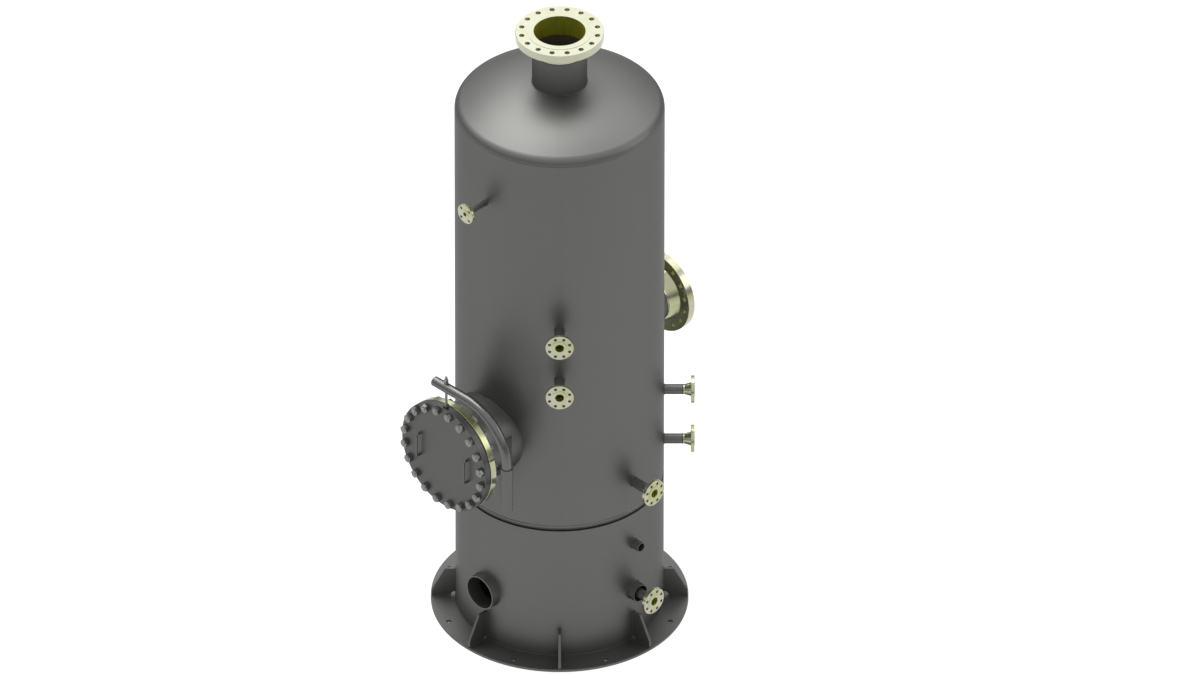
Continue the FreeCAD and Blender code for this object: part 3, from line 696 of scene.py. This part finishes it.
def chamfered_nut(flats, height, planes):
    """Builder of a hexagon nut from height 0, its corners cut to a cone at both ends."""
    tall = height / flats

    def build(bm):
        corner = 1 / math.sqrt(3)
        flat_face = NUT_FACE_SHARE / 2
        bmesh.ops.create_cone(
            bm, cap_ends=True, segments=6, radius1=corner, radius2=corner, depth=tall,
            matrix=Matrix.Translation((0, 0, tall / 2)) @ Matrix.Rotation(math.pi / 6, 4, "Z"))
        for end, lean in ((0.0, -1.0), (tall, 1.0)):
            for i in range(planes):
                around = 2 * math.pi * i / planes
                outward = Vector((math.cos(around), math.sin(around), 0))
                normal = outward * math.sin(NUT_CHAMFER) + UP * lean * math.cos(NUT_CHAMFER)
                point = outward * flat_face + UP * end
                bmesh.ops.bisect_plane(
                    bm, geom=bm.verts[:] + bm.edges[:] + bm.faces[:], plane_co=point, plane_no=normal,
                    clear_outer=True, dist=CUT_DISTANCE)
                bmesh.ops.holes_fill(bm, edges=[edge for edge in bm.edges if edge.is_boundary])
        bmesh.ops.scale(bm, vec=(flats, flats, flats), verts=bm.verts)
    return build


def thread_profile(radius, depth, pitch, start, end):
    """Zigzag points of a thread's ridges between two heights."""
    points = []
    count = int((end - start) / pitch)
    step = (end - start) / count
    for i in range(count):
        points.append((radius - depth, start + i * step))
        points.append((radius, start + (i + 0.5) * step))
    return points


def stud_builder(radius, length, pitch, shown):
    """Builder of a stud from height 0, threaded at its ends and chamfered."""
    depth = THREAD_DEPTH_SHARE * pitch
    end_radius = radius - depth * STUD_END_DEPTHS

    def build(bm):
        low = thread_profile(radius, depth, pitch, depth, shown)
        high = [(r, length - z) for r, z in reversed(low)]
        spin_profile(
            bm, [(0, 0), (end_radius, 0)] + low + high + [(end_radius, length), (0, length)], STUD_FACETS)
    return build


def bolt_circle(centre, axis, circle_radius, count):
    """Matrices of a bolt circle's places, turned with their bearing and half a step off the axes."""
    base = place(axis, centre)
    for i in range(count):
        angle = 2 * math.pi * (i + 0.5) / count
        yield base @ Matrix.Rotation(angle, 4, "Z") @ Matrix.Translation((circle_radius, 0, 0))


class SCRUBBER_OT_manway_bolting(bpy.types.Operator):
    """Model the manway's studs and nuts with their threads and chamfers"""
    bl_idname = "scrubber.manway_bolting"
    bl_label = "Manway bolting"

    def execute(self, context):
        bolting = settings().bolting
        studs_low, studs_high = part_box("manway_studs")
        nuts_low, nuts_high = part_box("manway_nuts")
        cover_low, cover_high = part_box("manway_cover")
        centre = Vector((0, 0, (cover_low.z + cover_high.z) / 2))
        studs = bmesh.new()
        nuts = bmesh.new()
        stud = stud_builder(
            STUD_RADIUS, studs_high.y - studs_low.y, bolting.thread_pitch, bolting.thread_length)
        nut = chamfered_nut(NUT_FLATS, cover_low.y - nuts_low.y, bolting.chamfer_planes)
        for matrix in bolt_circle(centre, MANWAY_SIDE, BOLT_CIRCLE_RADIUS, MANWAY_STUDS):
            add_copy(studs, stud, matrix @ Matrix.Translation((0, 0, -studs_high.y)))
            for low in (-cover_low.y, -nuts_high.y):
                add_copy(nuts, nut, matrix @ Matrix.Translation((0, 0, low)))
        studs = finish_piece("threaded_studs", studs, "plated bolting", ["manway_studs"])
        nuts = finish_piece("chamfered_nuts", nuts, "plated bolting", ["manway_nuts"])
        smooth(studs, MACHINED_CORNER)
        smooth(nuts, MACHINED_CORNER)
        return {"FINISHED"}


class SCRUBBER_OT_lifting_gear(bpy.types.Operator):
    """Model the lifting rod's nuts and its threaded end"""
    bl_idname = "scrubber.lifting_gear"
    bl_label = "Lifting gear"

    def execute(self, context):
        bolting = settings().bolting
        nuts_low, nuts_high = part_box("lift_rod_nuts")
        rod_low, rod_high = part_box("cover_lift_rod")
        axis_y = (nuts_low.y + nuts_high.y) / 2
        height = (nuts_high.z - nuts_low.z) / 2
        flats = nuts_high.y - nuts_low.y
        nuts = bmesh.new()
        nut = chamfered_nut(flats, height, bolting.chamfer_planes)
        for low in (nuts_low.z, nuts_low.z + height):
            add_copy(nuts, nut, Matrix.Translation((0, axis_y, low)))
        nuts = finish_piece("lift_nuts_chamfered", nuts, "plated bolting", ["lift_rod_nuts"])
        smooth(nuts, MACHINED_CORNER)
        radius = (rod_high.x - rod_low.x) / 2
        start = nuts_high.z - ROD_THREAD_PITCH / 2
        end = rod_high.z + ROD_END_RISE
        ridges = thread_profile(
            radius + ROD_THREAD_RISE, ROD_THREAD_DEPTH, ROD_THREAD_PITCH, start,
            rod_high.z - ROD_THREAD_PITCH / 4)
        thread = bmesh.new()
        foot = [(radius - ROD_THREAD_PITCH, start)]
        tip = [(radius - ROD_END_CHAMFER, end), (0, end)]
        spin_profile(thread, foot + ridges + tip, ROD_FACETS)
        bmesh.ops.holes_fill(thread, edges=[edge for edge in thread.edges if edge.is_boundary])
        bmesh.ops.translate(thread, verts=thread.verts, vec=(0, axis_y, 0))
        smooth(finish_piece("lift_rod_thread", thread, "plated bolting"), MACHINED_CORNER)
        return {"FINISHED"}


def pipe_radius(node):
    """Outer radius of a level pipe, from its height."""
    low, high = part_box(node)
    return (high.z - low.z) / 2


def neck_end(stem):
    """How far from the vessel's axis a nozzle's neck meets its flange."""
    low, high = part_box(stem + "_flange")
    axis = mount_place(stem + "_bolts")[1]
    if axis.x > ALONG_AXIS:
        return low.x
    if axis.y > ALONG_AXIS:
        return low.y
    if axis.y < -ALONG_AXIS:
        return -high.y
    # A neck at 45 degrees ends, along X, at its length and its radius together over the root of two
    neck_low, neck_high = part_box(stem + "_neck")
    return max(-neck_low.x, neck_high.x) * math.sqrt(2) - pipe_radius(stem + "_neck")


class SCRUBBER_OT_nozzle_welds(bpy.types.Operator):
    """Lay the weld beads of the nozzles, at the wall and at their flanges"""
    bl_idname = "scrubber.nozzle_welds"
    bl_label = "Nozzle welds"

    def execute(self, context):
        fillet = settings().welds.fillet
        beads = bmesh.new()
        for stem in ("inlet", "front_upper", "front_lower", "right_upper", "right_lower", "low_side",
                     "pressure_tap"):
            face, axis = mount_place(stem + "_bolts")
            foot = Vector((0, 0, face.z))
            radius = pipe_radius(stem + "_neck")
            matrix = place(axis, foot)
            add_copy(beads, saddle_ring(radius, fillet), matrix)
            add_copy(beads, butt_ring(radius, neck_end(stem), PIPE_RING), matrix)
        outlet_low, outlet_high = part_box("outlet_neck")
        outlet_radius = (outlet_high.x - outlet_low.x) / 2
        head_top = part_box("top_head")[1].z
        add_copy(beads, flat_ring(outlet_radius, fillet, head_top - HEAD_BEAD_SINK), Matrix())
        add_copy(beads, butt_ring(outlet_radius, outlet_high.z), Matrix())
        drain_z = mount_place("drain_bolts")[0].z
        drain = butt_ring(pipe_radius("low_side_neck"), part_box("drain_flange")[0].x, PIPE_RING)
        add_copy(beads, drain, place(DRAIN_SIDE, Vector((0, 0, drain_z))))
        smooth(finish_piece("nozzle_welds", beads, "weld bead paint"), BEAD_CORNER)
        return {"FINISHED"}


class SCRUBBER_OT_skirt_welds(bpy.types.Operator):
    """Lay the weld beads of the skirt, its gussets and its sleeves"""
    bl_idname = "scrubber.skirt_welds"
    bl_label = "Skirt welds"

    def execute(self, context):
        fillet = settings().welds.fillet
        ring_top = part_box("base_ring")[1].z
        skirt_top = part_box("skirt")[1].z
        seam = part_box("shell_lower_course")[0].z
        beads = bmesh.new()
        joint = flat_ring(SHELL_RADIUS - SEAM_BEAD, SEAM_BEAD, (skirt_top + seam) / 2, VESSEL_RING)
        add_copy(beads, flat_ring(SHELL_RADIUS, fillet, ring_top, VESSEL_RING), Matrix())
        add_copy(beads, joint, Matrix())
        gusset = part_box("gusset_1")[1]

        def gusset_beads(bm):
            for y in (-gusset.y, gusset.y):
                straight_bead(
                    bm, Vector((SHELL_RADIUS, y, ring_top + GUSSET_CUT)), Vector((SHELL_RADIUS, y, gusset.z)),
                    fillet)
                straight_bead(
                    bm, Vector((SHELL_RADIUS + GUSSET_CUT, y, ring_top)), Vector((gusset.x, y, ring_top)),
                    fillet)

        gussets = sum(node.startswith("gusset_") for node in frame["nodes"])
        for i in range(gussets):
            add_copy(beads, gusset_beads, Matrix.Rotation(2 * math.pi / gussets * i, 4, "Z"))
        for node, side in (
                ("access_sleeve", MANWAY_SIDE), ("drain_sleeve", DRAIN_SIDE), ("skirt_vent", DRAIN_SIDE)):
            low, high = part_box(node)
            centre = Vector((0, 0, (low.z + high.z) / 2))
            add_copy(beads, saddle_ring(pipe_radius(node), fillet), place(side, centre))
        smooth(finish_piece("skirt_welds", beads, "weld bead paint"), BEAD_CORNER)
        return {"FINISHED"}


class SCRUBBER_OT_manway_welds(bpy.types.Operator):
    """Lay the weld beads of the manway's neck, flange and cover handles"""
    bl_idname = "scrubber.manway_welds"
    bl_label = "Manway welds"

    def execute(self, context):
        welds = settings().welds
        low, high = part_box("manway_neck")
        centre_z = (low.z + high.z) / 2
        radius = pipe_radius("manway_neck")
        beads = bmesh.new()
        matrix = place(MANWAY_SIDE, Vector((0, 0, centre_z)))
        add_copy(beads, saddle_ring(radius, welds.fillet, VESSEL_RING), matrix)
        hub_end = -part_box("manway_flange")[1].y
        add_copy(beads, flat_ring(radius, welds.fillet, hub_end, VESSEL_RING), matrix)
        cover_front = -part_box("manway_cover")[0].y
        for node in ("cover_handle_left", "cover_handle_right"):
            low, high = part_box(node)
            bar = (high.x - low.x) / 2
            x = (low.x + high.x) / 2
            for z in (low.z + bar, high.z - bar):
                foot = place(MANWAY_SIDE, Vector((x, 0, z)))
                add_copy(beads, flat_ring(bar, welds.small, cover_front, HANDLE_RING), foot)
        smooth(finish_piece("manway_welds", beads, "weld bead paint"), BEAD_CORNER)
        return {"FINISHED"}


def lamp(name, power, size, where, aim):
    """A square area lamp that points at a place."""
    light = bpy.data.lights.new(name, "AREA")
    light.energy = power
    light.size = size
    holder = bpy.data.objects.new(name, light)
    bpy.context.scene.collection.objects.link(holder)
    holder.location = where
    holder.rotation_euler = (Vector(aim) - Vector(where)).to_track_quat("-Z", "Y").to_euler()


def seen_directly(tree):
    """1 on camera, glossy and transmission rays, else 0."""
    path = tree.nodes.new("ShaderNodeLightPath")
    first = add(tree, "ShaderNodeMath", {
        0: path.outputs["Is Camera Ray"], 1: path.outputs["Is Glossy Ray"]}, operation="MAXIMUM")
    return add(tree, "ShaderNodeMath", {
        0: first.outputs[0], 1: path.outputs["Is Transmission Ray"]}, operation="MAXIMUM").outputs[0]


def horizon_shade(tree, horizon):
    """The surround's brightness in metal: white above, darker towards the horizon."""
    direction = tree.nodes.new("ShaderNodeTexCoord").outputs["Generated"]
    height = add(tree, "ShaderNodeSeparateXYZ", {"Vector": direction}).outputs["Z"]
    path = tree.nodes.new("ShaderNodeLightPath")
    rise = add(tree, "ShaderNodeMapRange", {
        "Value": height, "From Min": 0.05, "From Max": 0.4, "To Min": horizon, "To Max": 1.0},
        interpolation_type="SMOOTHSTEP")
    return add(tree, "ShaderNodeMix", {
        "Factor": path.outputs["Is Glossy Ray"], "A": 1.0, "B": rise.outputs["Result"]}).outputs["Result"]


def white_world(sky, horizon):
    """White surround, with an even light of its own and a darker horizon in metal."""
    world = bpy.data.worlds.new("white surround")
    bpy.context.scene.world = world
    world.use_nodes = True
    tree = world.node_tree
    background = next(node for node in tree.nodes if node.type == "BACKGROUND")
    background.inputs["Color"].default_value = (1, 1, 1, 1)
    strength = add(tree, "ShaderNodeMix", {
        "Factor": seen_directly(tree), "A": sky, "B": horizon_shade(tree, horizon)})
    tree.links.new(strength.outputs["Result"], background.inputs["Strength"])


def past_base(tree):
    """1 outside the base ring, else 0, so that the ground inside the skirt stays dark."""
    place_on_floor = tree.nodes.new("ShaderNodeTexCoord").outputs["Object"]
    radius = add(tree, "ShaderNodeVectorMath", {0: place_on_floor}, operation="LENGTH")
    return add(tree, "ShaderNodeMath", {
        0: radius.outputs["Value"], 1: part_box("base_ring")[1].x}, operation="GREATER_THAN").outputs[0]


def white_floor():
    """White floor that takes a soft shadow and looks as white as the surround."""
    bm = bmesh.new()
    bmesh.ops.create_grid(bm, x_segments=1, y_segments=1, size=FLOOR_WIDTH / 2)
    mesh = bpy.data.meshes.new("floor")
    bm.to_mesh(mesh)
    bm.free()
    floor = bpy.data.objects.new("floor", mesh)
    bpy.context.scene.collection.objects.link(floor)
    material = bpy.data.materials.new("floor white")
    material.use_nodes = True
    tree = material.node_tree
    tree.nodes.clear()
    matte = add(tree, "ShaderNodeBsdfDiffuse", {"Color": FLOOR_MATTE})
    faint = add(tree, "ShaderNodeBsdfDiffuse", {"Color": FLOOR_FAINT})
    glow = add(tree, "ShaderNodeEmission", {"Color": (1, 1, 1, 1), "Strength": FLOOR_GLOW})
    shown = add(tree, "ShaderNodeAddShader", {0: faint.outputs[0], 1: glow.outputs[0]})
    glowing = add(tree, "ShaderNodeMath", {0: seen_directly(tree), 1: past_base(tree)}, operation="MULTIPLY")
    either = add(tree, "ShaderNodeMixShader", {
        0: glowing.outputs[0], 1: matte.outputs[0], 2: shown.outputs[0]})
    add(tree, "ShaderNodeOutputMaterial", {"Surface": either.outputs[0]})
    mesh.materials.append(material)


def isometric_camera(distance):
    """A very long lens far along the photograph's direction, framed as the photograph is."""
    toward = Vector((1, -1, 1)).normalized()
    aim = Vector((0, 0, (GROUND_ROW - PHOTO_HEIGHT / 2) / RISE_PER_MM / MM_PER_M))
    frame_width = PHOTO_WIDTH * MM_PER_PIXEL / MM_PER_M
    data = bpy.data.cameras.new("isometric camera")
    data.sensor_width = 36
    data.lens = data.sensor_width * distance / frame_width
    data.shift_x = (PHOTO_WIDTH / 2 - AXIS_COLUMN) / PHOTO_WIDTH
    data.clip_start = distance / 100
    data.clip_end = distance * 3
    camera = bpy.data.objects.new("isometric camera", data)
    bpy.context.scene.collection.objects.link(camera)
    camera.location = aim + toward * distance
    camera.rotation_euler = (-toward).to_track_quat("-Z", "Y").to_euler()
    bpy.context.scene.camera = camera


class SCRUBBER_OT_stage(bpy.types.Operator):
    """Set the floor, the surround, the lamps and the camera"""
    bl_idname = "scrubber.stage"
    bl_label = "Stage"

    def execute(self, context):
        stage = settings().stage
        context.scene.view_settings.view_transform = "Standard"
        white_world(stage.sky, stage.horizon)
        white_floor()
        for name, size, where, aim in LAMPS:
            lamp(name + " lamp", getattr(stage, name), size, where, aim)
        isometric_camera(stage.camera_distance)
        return {"FINISHED"}


class SCRUBBER_PT_panel(bpy.types.Panel):
    """The vessel's pieces and stage"""
    bl_idname = "SCRUBBER_PT_panel"
    bl_label = "Gas scrubber vessel"
    bl_space_type = "VIEW_3D"
    bl_region_type = "UI"
    bl_category = "Scrubber"

    def draw(self, context):
        every = settings()
        for group in (every.coat, every.metals, every.welds, every.bolting, every.stage):
            column = self.layout.column(align=True)
            for name in group.__annotations__:
                column.prop(group, name)
        for operator in OPERATORS:
            self.layout.operator(operator.bl_idname)


OPERATORS = (
    SCRUBBER_OT_finishes,
    SCRUBBER_OT_manway_bolting,
    SCRUBBER_OT_lifting_gear,
    SCRUBBER_OT_nozzle_welds,
    SCRUBBER_OT_skirt_welds,
    SCRUBBER_OT_manway_welds,
    SCRUBBER_OT_stage,
)
CLASSES = (
    ScrubberCoat, ScrubberMetals, ScrubberWelds, ScrubberBolting, ScrubberStage, ScrubberSettings,
    *OPERATORS, SCRUBBER_PT_panel)


def register():
    for kind in CLASSES:
        bpy.utils.register_class(kind)
    bpy.types.Scene.scrubber = PointerProperty(type=ScrubberSettings)


def unregister():
    del bpy.types.Scene.scrubber
    for kind in reversed(CLASSES):
        bpy.utils.unregister_class(kind)


def main():
    register()
    bpy.ops.scrubber.finishes()
    bpy.ops.scrubber.manway_bolting()
    bpy.ops.scrubber.lifting_gear()
    bpy.ops.scrubber.nozzle_welds()
    bpy.ops.scrubber.skirt_welds()
    bpy.ops.scrubber.manway_welds()
    bpy.ops.scrubber.stage()


if __name__ == "__main__":
    main()
